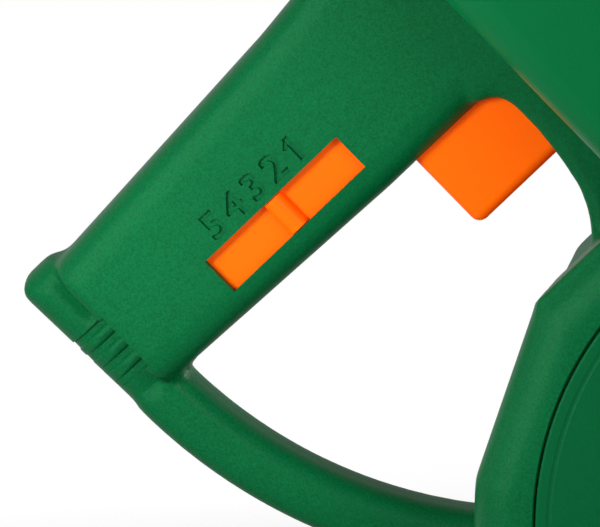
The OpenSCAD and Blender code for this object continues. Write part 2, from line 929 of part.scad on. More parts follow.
module pinion() {
  p = 360 / pinion_n;
  color([0.9, 0.9, 0.86])
    difference() {
      union() {
        translate([0, 0, pinion_z - tooth_w / 2])
          linear_extrude(tooth_w)
            union() {
              circle(pitch_r - 1.5);
              for (i = [0 : pinion_n - 1])
                rotate((i + 0.5) * p)
                  polygon([[pitch_r - 2, -0.95], [pitch_r - 0.2, -0.8], [pitch_r + 0.95, -0.36],
                           [pitch_r + 0.95, 0.36], [pitch_r - 0.2, 0.8], [pitch_r - 2, 0.95]]);
            }
        zcyl(0, 0, 5.2, pinion_z - tooth_w / 2 - 2.5, pinion_z + tooth_w / 2 + 5);
      }
      zcyl(0, 0, shaft_d / 2 - 0.02, pinion_z - 20, pinion_z + 20);
    }
}

module spinner_shaft() {
  color([0.72, 0.73, 0.75])
    zcyl(0, 0, shaft_d / 2, spin_z - 4.5, sump_z + 26);
}

// Spinner: a dished disc with a hub and curved fins
module spinner() {
  color([0.1, 0.1, 0.1])
    difference() {
      union() {
        translate([0, 0, spin_z])
          rotate_extrude()
            polygon([[0, 0], [spin_r - 8, 0], [spin_r, 2.2], [spin_r, 4.2], [spin_r - 9, 2.2],
                     [0, 2.2]]);
        zcyl(0, 0, 7, spin_z, deck_z - 2.5 - gap);
        intersection() {
          zcyl(0, 0, spin_r - 0.5, spin_z, spin_z + fin_h);
          for (a = [0 : 60 : 300])
            rotate([0, 0, a])
              translate([8, 38, spin_z + 1])
                linear_extrude(fin_h - 1)
                  difference() {
                    circle(46);
                    circle(44.2);
                    translate([-100, -100])
                      square([108 - 12, 200]);
                    translate([-100, -12])
                      square([200, 200]);
                  }
        }
      }
      zcyl(0, 0, shaft_d / 2 - 0.02, spin_z - 1, spin_z + 30);
    }
}

module spinner_nut() {
  color([0.7, 0.71, 0.73])
    difference() {
      union() {
        translate([0, 0, spin_z - 3.2])
          cylinder(r = 5.8, h = 3.2, $fn = 6);
      }
      zcyl(0, 0, shaft_d / 2 - 0.02, spin_z - 10, spin_z + 1);
    }
}

// Flanged bush in the deck
module lower_bush() {
  color([0.85, 0.83, 0.75])
    difference() {
      union() {
        zcyl(0, 0, shaft_d / 2 + 2, deck_z - 2, deck_z + deck_t);
        zcyl(0, 0, shaft_d / 2 + 5, deck_z - 2.5, deck_z - 0.01);
      }
      zcyl(0, 0, shaft_d / 2 + run, deck_z - 5, deck_z + 8);
    }
}

// Bush in the boss of the hopper's floor
module upper_bush() {
  color([0.85, 0.83, 0.75])
    difference() {
      union() {
        zcyl(0, 0, shaft_d / 2 + 2, sump_z, sump_z + 9);
        zcyl(0, 0, shaft_d / 2 + 4.4, sump_z + 9, sump_z + 11);
      }
      zcyl(0, 0, shaft_d / 2 + run, sump_z - 8, sump_z + 14);
    }
}

// Two bushes in the cover's long boss
module crank_bushes() {
  color([0.85, 0.83, 0.75])
    for (y = [[-body_hw - 2.5, -body_hw + 12], [-32, -20]])
      difference() {
        ycyl(0, crank_z, crank_d / 2 + 2.2, y[0], y[1]);
        ycyl(0, crank_z, crank_d / 2 + run, y[0] - 1, y[1] + 1);
      }
}

// Stirrer on top of the spinner shaft
module agitator() {
  color([0.1, 0.1, 0.1])
    difference() {
      union() {
        zcyl(0, 0, 6.5, sump_z + 12, sump_z + 24);
        for (a = [20, 200])
          rotate([0, 0, a]) {
            box(4, 22, -1.6, 1.6, sump_z + 13, sump_z + 17);
            box(19, 22, -1.6, 1.6, sump_z + 13, sump_z + 32);
          }
      }
      zcyl(0, 0, shaft_d / 2 - 0.02, sump_z + 5, sump_z + 40);
    }
}

// A pan-head screw along Y, with its head on the right
module screw_y(x, z, y_head, len, r) {
  difference() {
    union() {
      ycyl(x, z, r, y_head - 1, y_head + len);
      ycyl(x, z, 2 * r, y_head - 1.8, y_head);
    }
    box(x - 1.6 * r, x + 1.6 * r, y_head - 3, y_head - 0.8, z - 0.35, z + 0.35);
    box(x - 0.35, x + 0.35, y_head - 3, y_head - 0.8, z - 1.6 * r, z + 1.6 * r);
  }
}

module shell_screws() {
  color([0.7, 0.71, 0.73])
    mirror([0, 1, 0]) {
      for (p = body_posts)
        screw_y(p[0], p[1], -body_hw + 5, body_hw + 9, screw_r - 0.02);
      hf()
        for (p = grip_posts)
          screw_y(p[0], p[1], -grip_hw + 2, grip_hw + 6, screw_r - 0.02);
    }
}

module cover_screws() {
  color([0.7, 0.71, 0.73])
    for (p = cover_screw_at) {
      screw_y(p[0], p[1], -body_hw - 0.5, 8, screw_r - 0.02);
      mirror([0, 1, 0])
        screw_y(p[0], p[1], -body_hw - 0.5, 8, screw_r - 0.02);
    }
}

module deck_screws() {
  color([0.7, 0.71, 0.73])
    for (x = deck_screw_x, y = [-deck_screw_y, deck_screw_y])
      translate([x, y, deck_z])
        union() {
          translate([0, 0, -1.8])
            cylinder(r = 3.2, h = 1.8);
          cylinder(r = screw_r - 0.02, h = 10);
        }
}

translate([place_x, place_y, 0]) {
  right_shell();
  left_shell();
  right_cover();
  left_cover();
  hopper();
  deck();
  chute();
  trigger();
  trigger_spring();
  gate();
  gate_guide();
  rate_slider();
  rate_plate();
  detent_spring();
  crank_arm();
  crank_shaft();
  crank_screw();
  knob();
  knob_pin();
  crown_gear();
  crank_bushes();
  pinion();
  spinner_shaft();
  spinner();
  spinner_nut();
  lower_bush();
  upper_bush();
  agitator();
  shell_screws();
  cover_screws();
  deck_screws();
}
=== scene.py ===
import json
import math
import bpy
import bmesh
from mathutils import Matrix, Vector

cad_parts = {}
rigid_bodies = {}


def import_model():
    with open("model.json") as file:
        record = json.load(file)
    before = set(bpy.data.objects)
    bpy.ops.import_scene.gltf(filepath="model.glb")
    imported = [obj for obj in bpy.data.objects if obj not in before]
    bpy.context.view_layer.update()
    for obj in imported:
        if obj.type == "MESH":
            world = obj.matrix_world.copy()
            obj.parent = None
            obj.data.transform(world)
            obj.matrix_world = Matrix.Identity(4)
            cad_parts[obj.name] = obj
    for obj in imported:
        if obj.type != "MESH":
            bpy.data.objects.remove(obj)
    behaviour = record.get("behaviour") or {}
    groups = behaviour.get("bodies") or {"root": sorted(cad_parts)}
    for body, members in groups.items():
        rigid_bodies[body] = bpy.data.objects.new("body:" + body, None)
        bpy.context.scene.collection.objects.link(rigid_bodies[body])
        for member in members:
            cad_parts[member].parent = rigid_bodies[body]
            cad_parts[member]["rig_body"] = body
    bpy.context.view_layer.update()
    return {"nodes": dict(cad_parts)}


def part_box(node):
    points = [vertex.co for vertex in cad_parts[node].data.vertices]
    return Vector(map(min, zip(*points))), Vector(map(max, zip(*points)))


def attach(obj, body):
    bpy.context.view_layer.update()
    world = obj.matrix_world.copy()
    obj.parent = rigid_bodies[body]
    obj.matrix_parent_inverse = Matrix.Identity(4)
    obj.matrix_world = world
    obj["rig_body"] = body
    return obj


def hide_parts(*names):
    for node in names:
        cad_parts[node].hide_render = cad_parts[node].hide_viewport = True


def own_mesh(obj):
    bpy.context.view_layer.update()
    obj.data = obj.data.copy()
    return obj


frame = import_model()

# The photograph's view: a long lens on the right side of the grip, a little from the front
# and from above. The picture is 150 mm wide at the handle, so most of the body and the
# hopper lie outside it.
shaft_low, shaft_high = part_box("spinner_shaft")
axis = Vector(((shaft_low.x + shaft_high.x) / 2, (shaft_low.y + shaft_high.y) / 2, 0))
aim = axis + Vector((-152.6, -16.5, 96.25)) / 1000
towards_camera = Vector((0.152, -0.962, 0.225)).normalized()
view_distance = 3.0
view_width = 0.150
sensor_width = 36

camera = bpy.data.objects.new("camera", bpy.data.cameras.new("camera"))
bpy.context.scene.collection.objects.link(camera)
camera.location = aim + towards_camera * view_distance
camera.rotation_euler = towards_camera.to_track_quat("Z", "Y").to_euler()
camera.data.sensor_width = sensor_width
camera.data.lens = sensor_width * view_distance / view_width
camera.data.clip_end = 50
bpy.context.scene.camera = camera
bpy.context.scene.view_settings.view_transform = "Standard"


# The studio: a pale floor and a plain room, which look white to the camera and a little less
# bright in reflections, while they add only a little light to the part. The floor's white is
# painted darker close to the part, as painted shade, and its diffuse share takes the part's real
# shadow.
class Paint:
    """A socket of a shader's nodes that can stand in sums; node() adds any other node."""

    def __init__(self, tree, socket=None):
        self.tree = tree
        self.socket = socket

    def node(self, kind, inputs=None, output=0, **settings):
        """Adds a node: its settings first, then the values or links of its sockets."""
        made = self.tree.nodes.new("ShaderNode" + kind)
        for name, value in settings.items():
            setattr(made, name, value)
        for name, value in (inputs or {}).items():
            if isinstance(value, Paint):
                self.tree.links.new(value.socket, made.inputs[name])
            else:
                made.inputs[name].default_value = value
        return Paint(self.tree, made.outputs[output] if made.outputs else None)

    def maths(self, operation, left, right):
        return self.node("Math", {0: left, 1: right}, operation=operation)

    def __add__(self, other):
        return self.maths("ADD", self, other)

    def __radd__(self, other):
        return self.maths("ADD", other, self)

    def __sub__(self, other):
        return self.maths("SUBTRACT", self, other)

    def __rsub__(self, other):
        return self.maths("SUBTRACT", other, self)

    def __mul__(self, other):
        return self.maths("MULTIPLY", self, other)

    def __rmul__(self, other):
        return self.maths("MULTIPLY", other, self)


def shown(paint):
    """1 where the camera looks at the surface, and a share of that in reflections."""
    share_in_reflections = 0.45
    mirrored = paint.node("LightPath", output="Is Glossy Ray") * share_in_reflections
    return paint.node("LightPath", output="Is Camera Ray") + mirrored


def new_material(name):
    """An empty node material and the Paint that fills it."""
    material = bpy.data.materials.new(name)
    material.use_nodes = True
    material.node_tree.nodes.clear()
    return material, Paint(material.node_tree)


white = (1, 1, 1, 1)
room_light = 0.10
world = bpy.data.worlds.new("room")
bpy.context.scene.world = world
world.use_nodes = True
world.node_tree.nodes.clear()
room = Paint(world.node_tree)
room_level = shown(room) * (1 - room_light) + room_light
room_white = room.node("Background", {"Color": white, "Strength": room_level})
room.node("OutputWorld", {"Surface": room_white})

floor_half = 4
floor_grey = (0.5, 0.5, 0.5, 1)
floor_shown_share = 0.93
contact_shade = 0.12
floor_form = bmesh.new()
bmesh.ops.create_grid(floor_form, x_segments=1, y_segments=1, size=floor_half)
floor = bpy.data.objects.new("floor", bpy.data.meshes.new("floor"))
floor_form.to_mesh(floor.data)
floor_form.free()
bpy.context.scene.collection.objects.link(floor)
floor_white, mix = new_material("floor_white")
# Painted shade: the floor's white, seen by the camera and in reflections, is darkened where the
# part is near.
painted_shade_near_part = mix.node("AmbientOcclusion", {"Color": white, "Distance": contact_shade},
                         output="Color", samples=8)
floor_light = mix.node("Emission", {"Color": painted_shade_near_part, "Strength": 1.06})
floor_shade = mix.node("BsdfDiffuse", {"Color": floor_grey})
floor_mix = mix.node("MixShader", {0: shown(mix) * floor_shown_share, 1: floor_shade,
                                   2: floor_light})
mix.node("OutputMaterial", {"Surface": floor_mix})
floor.data.materials.append(floor_white)


# The lamps: round and soft, all turned to the grip. A small one close to its left lights it,
# and a broad one in the same place is seen only as sheen on the plastic. The others fill the
# right, the back and the far side.
def lamp(name, where, size, power, lights=True, mirrored=True):
    """A round lamp; it can be kept out of plain light or out of reflections."""
    made = bpy.data.objects.new(name, bpy.data.lights.new(name, "AREA"))
    made.data.shape = "DISK"
    made.data.size = size
    made.data.energy = power
    made.visible_diffuse = lights
    made.visible_glossy = mirrored
    made.location = where
    made.rotation_euler = (Vector(where) - aim).to_track_quat("Z", "Y").to_euler()
    bpy.context.scene.collection.objects.link(made)


beside_grip = aim + Vector((-0.15, -0.215, 0.065))
lamp("lamp_left", beside_grip, 0.09, 0.74, mirrored=False)
lamp("lamp_left_sheen", beside_grip, 0.3, 0.8, lights=False)
lamp("lamp_right", aim + Vector((0.62, -0.70, 0.30)), 0.5, 3.9)
lamp("lamp_behind_left", aim + Vector((-1.0, 0.5, 0.1)), 1.4, 2.0)
lamp("lamp_far_side", (1.2, 1.0, 0.5), 0.8, 16)

# The housing: the arched body, the neck, the handle and the looped guard, injection moulded
# in finely textured green plastic as two thin halves that meet on the middle plane. It is
# drawn in mm from the spinner's axis, and the handle in a frame that leans back 45 degrees.
body_radius = 104
body_half_width = 60
body_corner = 13
body_top = 134
arch_height = 42
tolerance = 0.001
here = Matrix.Identity(4)
metre = Matrix.Scale(0.001, 4)
across = Matrix.Rotation(math.radians(90), 4, "X")
arch_centre = Matrix.Translation((0, 0, arch_height))
handle_frame = arch_centre @ Matrix.Rotation(math.radians(-45), 4, "Y")


def cylinder(radius, depth, segments, place, far_radius=None):
    """A closed cylinder, or a cone where the far end has a radius of its own."""
    form = bmesh.new()
    bmesh.ops.create_cone(form, cap_ends=True, segments=segments, radius1=radius,
                          radius2=far_radius or radius, depth=depth, matrix=place)
    return form


def close(form):
    """Fills any open end and turns the faces outwards."""
    bmesh.ops.holes_fill(form, edges=[e for e in form.edges if e.is_boundary])
    bmesh.ops.recalc_face_normals(form, faces=form.faces)


def split_off(form, point, outward):
    """Cuts away what lies outside a plane."""
    geometry = form.verts[:] + form.edges[:] + form.faces[:]
    bmesh.ops.bisect_plane(form, geom=geometry, plane_co=point, plane_no=outward,
                           clear_outer=True)


def slice_off(form, point, outward):
    """Cuts away what lies outside a plane and closes the cut."""
    split_off(form, point, outward)
    close(form)


# The body starts as one round drum with a flat top and a sloping rear flank.
flank_tilt = math.radians(18.3)
flank_foot = 49.8
drum = cylinder(body_radius, 2 * body_half_width, 144, arch_centre @ across)
slice_off(drum, (-body_radius, 0, flank_foot), (-math.cos(flank_tilt), 0, math.sin(flank_tilt)))
slice_off(drum, (0, 0, body_top), (0, 0, 1))


def edges_within(form, test):
    """The edges whose two ends both pass a test on their place."""
    return [e for e in form.edges if all(test(v.co) for v in e.verts)]


def round_edges(form, edges, radius, segments=8, clamp=True):
    """Rounds some edges of a form."""
    bmesh.ops.bevel(form, geom=edges, offset=radius, offset_type="OFFSET", affect="EDGES",
                    segments=segments, profile=0.5, material=-1, clamp_overlap=clamp)


# Each half of it has a shoulder that falls away from the middle, lower on the left, and laps
# the middle by 0.6 mm. Its short edges are merged first, so that the rim's rounding keeps
# its full radius.
shoulder_at = 52
shoulder_slope = (-0.7, 0.055, 0.7)
middle_lap = 0.6
short_edge = 1.5
drums = []
for side, shoulder in ((-1, 101.2), (1, 97.5)):
    part = drum.copy()
    slice_off(part, (0, -side * middle_lap, 0), (0, -side, 0))
    slice_off(part, handle_frame @ Vector((0, side * shoulder_at, shoulder)),
              (shoulder_slope[0], -side * shoulder_slope[1], shoulder_slope[2]))
    bmesh.ops.remove_doubles(part, verts=part.verts, dist=short_edge)
    rim = edges_within(part, lambda place: abs(place.y - side * body_half_width) < tolerance)
    round_edges(part, rim, body_corner, 10, clamp=False)
    drums.append((part, here))
drum.free()


def block(low, high):
    """A box between two corners."""
    form = bmesh.new()
    bmesh.ops.create_cube(form, size=1)
    bmesh.ops.scale(form, verts=form.verts, vec=[h - l for l, h in zip(low, high)])
    bmesh.ops.translate(form, verts=form.verts, vec=[(l + h) / 2 for l, h in zip(low, high)])
    return form


def along(edge, direction):
    """How far an edge runs along x, y or z."""
    start, end = edge.verts
    return abs(getattr(start.co, direction) - getattr(end.co, direction))


# The straight legs under the drum run below the base, where the halves are cut flat later.
legs_foot = -20
legs = block((-body_radius, -body_half_width, legs_foot),
             (body_radius, body_half_width, arch_height))
round_edges(legs, [e for e in legs.edges if along(e, "z") > tolerance], body_corner, 10)


def plate(outline, half, radius):
    """An outline in x and z, thick from -half to half along y, with its two rims rounded."""
    form = bmesh.new()
    face = form.faces.new([form.verts.new((x, -half, z)) for x, z in outline])
    grown = bmesh.ops.extrude_face_region(form, geom=[face])["geom"]
    moved = [v for v in grown if isinstance(v, bmesh.types.BMVert)]
    bmesh.ops.translate(form, verts=moved, vec=(0, 2 * half, 0))
    close(form)
    round_edges(form, [e for e in form.edges if along(e, "y") < tolerance], radius)
    return form


# The grip widens into the body along its back. The neck in front of it sweeps down
# behind the trigger.
grip_half_width = 16.5
grip_rim = 8.2
grip_end = -118.3
grip_end_rounding = 4
neck_rim = 3.5
neck_end = 14.6
grip = plate([(-124, 187.7), (-41.5, 193.4), (-26, 195.2), (-12, 199.4), (0, 205.9),
              (neck_end, 217.4), (neck_end, 144.4), (-41, 144.4), (-124, 147.1)],
             grip_half_width, grip_rim)
slice_off(grip, (grip_end, 0, 0), (-1, 0, 0))
butt = edges_within(grip, lambda place: abs(place.x - grip_end) < tolerance)
round_edges(grip, butt, grip_end_rounding, 6)
neck = plate([(-14.5, 88), (-14.5, 97.8), (-10.4, 102.4), (-7.4, 106.6), (-5, 112), (-3.4, 120),
              (-2.4, 129), (-2.4, 138), (-3.4, 141.6), (-5.8, 143.6), (-9, 144.4), (-9, 165),
              (neck_end, 165), (neck_end, 88)], grip_half_width, neck_rim)


def joined(*forms):
    """One form from several, each given with the frame that it was drawn in."""
    whole = bmesh.new()
    for form, matrix in forms:
        bmesh.ops.transform(form, matrix=matrix, verts=form.verts)
        part = bpy.data.meshes.new("part")
        form.to_mesh(part)
        form.free()
        whole.from_mesh(part)
        bpy.data.meshes.remove(part)
    return whole


def through(form, *modifiers):
    """The form after these modifiers, each given as its type and its settings."""
    mesh = bpy.data.meshes.new("work")
    form.to_mesh(mesh)
    form.free()
    work = bpy.data.objects.new("work", mesh)
    bpy.context.scene.collection.objects.link(work)
    for kind, settings in modifiers:
        modifier = work.modifiers.new(kind, kind)
        for name, value in settings.items():
            setattr(modifier, name, value)
    bpy.context.view_layer.update()
    done = bmesh.new()
    done.from_mesh(work.evaluated_get(bpy.context.evaluated_depsgraph_get()).to_mesh())
    bpy.data.objects.remove(work)
    bpy.data.meshes.remove(mesh)
    return done


def cut(form, *cutters):
    """The form with each cutter taken out of it."""
    tools = []
    for cutter in cutters:
        mesh = bpy.data.meshes.new("cutter")
        cutter.to_mesh(mesh)
        cutter.free()
        tools.append(bpy.data.objects.new("cutter", mesh))
        bpy.context.scene.collection.objects.link(tools[-1])
    done = through(form, *[("BOOLEAN", {"operation": "DIFFERENCE", "solver": "MANIFOLD",
                                        "object": tool}) for tool in tools])
    for tool in tools:
        mesh = tool.data
        bpy.data.objects.remove(tool)
        bpy.data.meshes.remove(mesh)
    return done


# The bead closes the butt of the grip. Its two upper corners are cut off at 45 degrees, and
# a channel sets it off from the grip on each side.
bead_half_width = 9.5
bead_rim = 8.8
channel_radius = 2.8
channel_length = 24
bead = plate([(-131.4, 190.8), (-112, 190.8), (-110, 146), (-129.7, 146)],
             bead_half_width, bead_rim)
slice_off(bead, (-128.15, 0, 190.5), (-1, 0, 1))
slice_off(bead, (-119.5, 0, 190.8), (1, 0, 1))
for side in (-1, 1):
    channel_place = Matrix.Translation((-119.5, side * 10.3, 183))
    bead = cut(bead, cylinder(channel_radius, channel_length, 48, channel_place))

# The guard is a bar as wide as the bead that loops from it to the flank in one arc.
guard_half_depth = 7.8
guard_corner = 6
guard_start = (-121.9, 0, 148)
guard_centre = (6.3, 0, 148)
guard_sweep = -47
guard = bmesh.new()
bmesh.ops.create_grid(guard, x_segments=1, y_segments=1, size=1)
bmesh.ops.scale(guard, verts=guard.verts, vec=(guard_half_depth, bead_half_width, 1))
bmesh.ops.bevel(guard, geom=guard.verts[:], offset=guard_corner, offset_type="OFFSET",
                affect="VERTICES", segments=8, profile=0.5, material=-1)
bmesh.ops.translate(guard, verts=guard.verts, vec=guard_start)
bmesh.ops.spin(guard, geom=guard.faces[:], cent=guard_centre, axis=(0, 1, 0),
               angle=math.radians(guard_sweep), steps=40)
close(guard)

# All of these are melted into one skin, whose joins are smoothed as in a mould. From here
# on the skin is in metres.
skin_voxel = 0.0011
skin_smoothing = 12
in_handle_frame = [(form, handle_frame) for form in (grip, neck, bead, guard)]
housing = joined(*drums, (legs, here), *in_handle_frame)
bmesh.ops.scale(housing, verts=housing.verts, vec=(0.001, 0.001, 0.001))
housing = through(housing, ("REMESH", {"mode": "VOXEL", "voxel_size": skin_voxel}),
                  ("SMOOTH", {"factor": 0.5, "iterations": skin_smoothing}))


def bead_bar(inset, low, high, rim=1.0):
    """A length of the bead with rounded rims, let in mostly at its sides."""
    bead_back = -130.6
    bead_front = -100
    back_rounding = 8.6
    back_share = 0.4
    half = bead_half_width - inset
    bar = block((bead_back + back_share * inset, -half, low), (bead_front, half, high))
    back = [e for e in edges_within(bar, lambda place: place.x < bead_front - 10)
            if along(e, "z") > tolerance]
    round_edges(bar, back, back_rounding - inset)
    round_edges(bar, [e for e in bar.edges if along(e, "z") < tolerance], rim, 4)
    return bar


def ridged_bead(side):
    """A cutter that leaves three rounded ridges across the bead."""
    ridge_pitch = 4.8
    ridge_low, ridge_high = 155.8, 159.2
    ridge_inset, ground_inset = 0.1, 1.2
    reach = sorted((-side, side * 30))
    around = block((-134, reach[0], 154), (-116.4, reach[1], 170.6))
    ridges = [bead_bar(ridge_inset, ridge_low + ridge_pitch * step,
                       ridge_high + ridge_pitch * step, rim=1.5) for step in range(3)]
    return cut(around, bead_bar(ground_inset, 148, 178), *ridges)


def hopper_seat():
    """The funnel that the hopper fills, as a cutter: a hull through four level outlines."""
    funnel = bmesh.new()
    for back, front, half, height in ((-141.4, 95.3, 64.3, 271), (-134, 86.3, 60.3, 192),
                                      (-73, 48.3, 54.3, 131), (-51.5, 22.3, 28.3, 109.2)):
        for x in (back, front):
            for y in (-half, half):
                funnel.verts.new((x, y, height))
    bmesh.ops.convex_hull(funnel, input=funnel.verts)
    return funnel


def panel_seat(side):
    """The shallow recess of a side panel and the opening behind it, both flat at the foot."""
    recess_floor, recess_depth, recess_foot = 58.5, 2.5, 9
    recess_radius, recess_mouth = 88.2, 87.3
    opening_radius, opening_depth, opening_foot = 79, 12, 17
    outward = Matrix.Rotation(math.radians(90 * side), 4, "X")
    centre = Matrix.Translation((0, side * (recess_floor + recess_depth / 2), arch_height))
    recess = cylinder(recess_radius, recess_depth, 192, centre @ outward, recess_mouth)
    slice_off(recess, (0, 0, recess_foot), (0, 0, -1))
    inner_centre = Matrix.Translation((0, side * 58, arch_height))
    opening = cylinder(opening_radius, opening_depth, 128, inner_centre @ across)
    slice_off(opening, (0, 0, opening_foot), (0, 0, -1))
    return [(recess, here), (opening, here)]


def screw_holes():
    """The sunk screw holes of the left half, four along the grip and four in the body."""
    hole_radius = 3.3
    grip_depth, body_depth = 4, 7
    body_face = 58.5
    grip_places = ((-100, 178), (-70, 174), (-37, 187), (-4, 197))
    body_places = ((-94, 56), (94, 56), (-95, 12), (95, 36))
    holes = []
    for places, matrix, y, depth in ((grip_places, handle_frame, grip_half_width, grip_depth),
                                     (body_places, here, body_face, body_depth)):
        for x, z in places:
            place = Matrix.Translation((x, y, z)) @ across
            holes.append((cylinder(hole_radius, depth, 40, place), matrix))
    return holes


def half_housing(side):
    """The thin-walled half on one side of the middle plane, -1 for the right one."""
    wall = 0.0026
    seam = 0.00006
    base_lift = 0.00003
    kept_faces = 0.42
    half = housing.copy()
    split_off(half, (0, side * seam, 0), (0, -side, 0))
    split_off(half, (0, 0, base_lift), (0, 0, -1))
    half = through(half, ("DECIMATE", {"ratio": kept_faces}),
                   ("SOLIDIFY", {"thickness": wall, "offset": -1}))
    trigger_way = block((-32.4, -9.4, 109.8), (1.3, 9.4, 148.5))
    fork_way = block((-78.6, -9, 95), (-58, 9, 118))
    throwing_window = block((70, -46, 4), (150, 46, 20.5))
    tools = [(trigger_way, handle_frame), (fork_way, here), (throwing_window, here),
             (hopper_seat(), here), *panel_seat(side), (ridged_bead(side), handle_frame)]
    if side < 0:
        slider_slot = block((-87, -30, 152.45), (-40, -12, 162.95))
        tools.append((slider_slot, handle_frame))
    else:
        tools += screw_holes()
    return cut(half, *[joined((form, metre @ matrix)) for form, matrix in tools])


def figure(text, x, z):
    """A cutter for one number, engraved 0.9 mm deep beside the slot."""
    half_depth = 1.1
    middle = -16.7
    height = 9.8
    widening = 1.15
    curve = bpy.data.curves.new("figure", "FONT")
    curve.body = text
    curve.size = height
    curve.align_x = "CENTER"
    curve.align_y = "CENTER"
    curve.extrude = half_depth
    lettering = bpy.data.objects.new("figure", curve)
    bpy.context.scene.collection.objects.link(lettering)
    bpy.context.view_layer.update()
    form = bmesh.new()
    form.from_mesh(lettering.evaluated_get(bpy.context.evaluated_depsgraph_get()).to_mesh())
    bpy.data.objects.remove(lettering)
    bpy.data.curves.remove(curve)
    bmesh.ops.remove_doubles(form, verts=form.verts, dist=0.0001)
    facing = Matrix(((widening, 0, 0, x), (0, 0, -1, middle), (0, 1, 0, z), (0, 0, 0, 1)))
    return joined((form, metre @ handle_frame @ facing))


# The numbers 5 4 3 2 1 run towards the body. Each is cut four times, a little shifted, for
# a bolder stroke, and the 1 has a flag of its own.
settings = 5
first_x, first_z = -78.6, 167.9
figure_pitch = 7.18
bolder = 0.22
right_half = half_housing(-1)
for x_shift in (-bolder, bolder):
    for z_shift in (-bolder, bolder):
        figures = [figure(str(settings - i), first_x + figure_pitch * i + x_shift,
                          first_z + z_shift) for i in range(settings)]
        right_half = cut(right_half, *figures)
flag_place = Matrix.Translation((-51.1, 0, 170.2)) @ Matrix.Rotation(math.radians(-45), 4, "Y")
flag = joined((block((-1.3, -17.5, -0.5), (1.3, -15.9, 0.5)), flag_place))
right_half = cut(right_half, joined((flag, metre @ handle_frame)))
left_half = half_housing(1)
for form in (right_half, left_half):
    bmesh.ops.translate(form, verts=form.verts, vec=axis)


def moulded_plastic(name, light, dark, roughness, grain=1.0, painted_glow=(0, 0, 0)):
    """Moulded plastic with a fine texture, between a light and a dark shade of one colour, with
    an optional painted glow given as emission.
    """
    material, mix = new_material(name)
    where = mix.node("TexCoord", output="Object")
    broad = mix.node("TexNoise", {"Vector": where, "Scale": 28.0, "Detail": 3.0})
    fine = mix.node("TexNoise", {"Vector": where, "Scale": 2000.0, "Detail": 2.0})
    colour = mix.node("Mix", {"Factor": broad * 0.4 + fine * 1.8 - 0.6, "A": (*dark, 1),
                              "B": (*light, 1)}, output=2, data_type="RGBA")
    bump = mix.node("Bump", {"Strength": 0.45 * grain, "Distance": 0.00015, "Height": fine})
    # Any emission here is a painted glow, not a lamp.
    surface = mix.node("BsdfPrincipled", {
        "Base Color": colour, "Roughness": broad * 0.08 + fine * 0.06 + roughness,
        "Normal": bump, "Specular IOR Level": 0.07, "Emission Color": (*painted_glow, 1),
        "Emission Strength": 1.0})
    mix.node("OutputMaterial", {"Surface": surface})
    return material


def show(name, form, material, body, slot, *nodes, angle=35):
    """Makes the object of a finished form and sets it in the frame."""
    mesh = bpy.data.meshes.new(name)
    form.to_mesh(mesh)
    form.free()
    made = bpy.data.objects.new(name, mesh)
    bpy.context.scene.collection.objects.link(made)
    mesh.shade_smooth()
    mesh.set_sharp_from_angle(angle=math.radians(angle))
    mesh.materials.append(material)
    made.modifiers.new("normals", "WEIGHTED_NORMAL").keep_sharp = True
    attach(made, body)
    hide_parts(*nodes)
    return made


shell_green = moulded_plastic("shell_green", (0.002, 0.152, 0.044), (0.0006, 0.084, 0.024), 0.28)
show("right_half", right_half, shell_green, "housing", "shell_green", "right_shell", angle=32)
show("left_half", left_half, shell_green, "housing", "shell_green", "left_shell", angle=32)

# The round side panels, moulded in a slightly darker green and screwed into the recesses of
# the housing. Each has a rounded edge and a groove that sets off a narrow rim. The copies of
# the solids are worked on in metres, and the groove's cutter is drawn in mm.
panel_green = moulded_plastic("panel_green", (0.001, 0.118, 0.034), (0.001, 0.106, 0.030), 0.26)
rim_start = 0.0865
rim_rounding = 0.0007
groove_radius = 83.6
groove_thickness = 1.2
groove_above_face = 0.9
on_face = 0.00001
in_frame = Matrix.Translation(axis) @ metre


def cad_form(node):
    """A copy of a CAD solid with its loose triangles joined, to be worked on."""
    form = bmesh.new()
    form.from_mesh(frame["nodes"][node].data)
    bmesh.ops.remove_doubles(form, verts=form.verts, dist=0.000004)
    bmesh.ops.dissolve_limit(form, angle_limit=math.radians(0.5), verts=form.verts,
                             edges=form.edges)
    return form


def ring(radius, thickness, y):
    """A ring about the panels' axis, to cut a groove with."""
    form = bmesh.new()
    bmesh.ops.create_circle(form, segments=12, radius=thickness,
                            matrix=Matrix.Translation((radius, y, 0)))
    bmesh.ops.spin(form, geom=form.verts[:] + form.edges[:], cent=(0, 0, 0), axis=(0, 1, 0),
                   angle=math.radians(360), steps=160, use_merge=True)
    bmesh.ops.recalc_face_normals(form, faces=form.faces)
    return joined((form, in_frame @ arch_centre))


def in_rim(place):
    """Whether a point lies in the outer rim of a panel."""
    return math.hypot(place.x - axis.x, place.z - arch_height / 1000) > rim_start


for node, side in (("right_cover", -1), ("left_cover", 1)):
    panel = cad_form(node)
    face = max(side * v.co.y for v in panel.verts if in_rim(v.co))
    rim = edges_within(panel, lambda place: abs(side * place.y - face) < on_face
                       and in_rim(place))
    round_edges(panel, rim, rim_rounding, 4)
    groove_at = (face - side * axis.y) * 1000 + groove_above_face
    panel = cut(panel, ring(groove_radius, groove_thickness, side * groove_at))
    show(node + "_panel", panel, panel_green, "housing", "shell_green", node, angle=30)

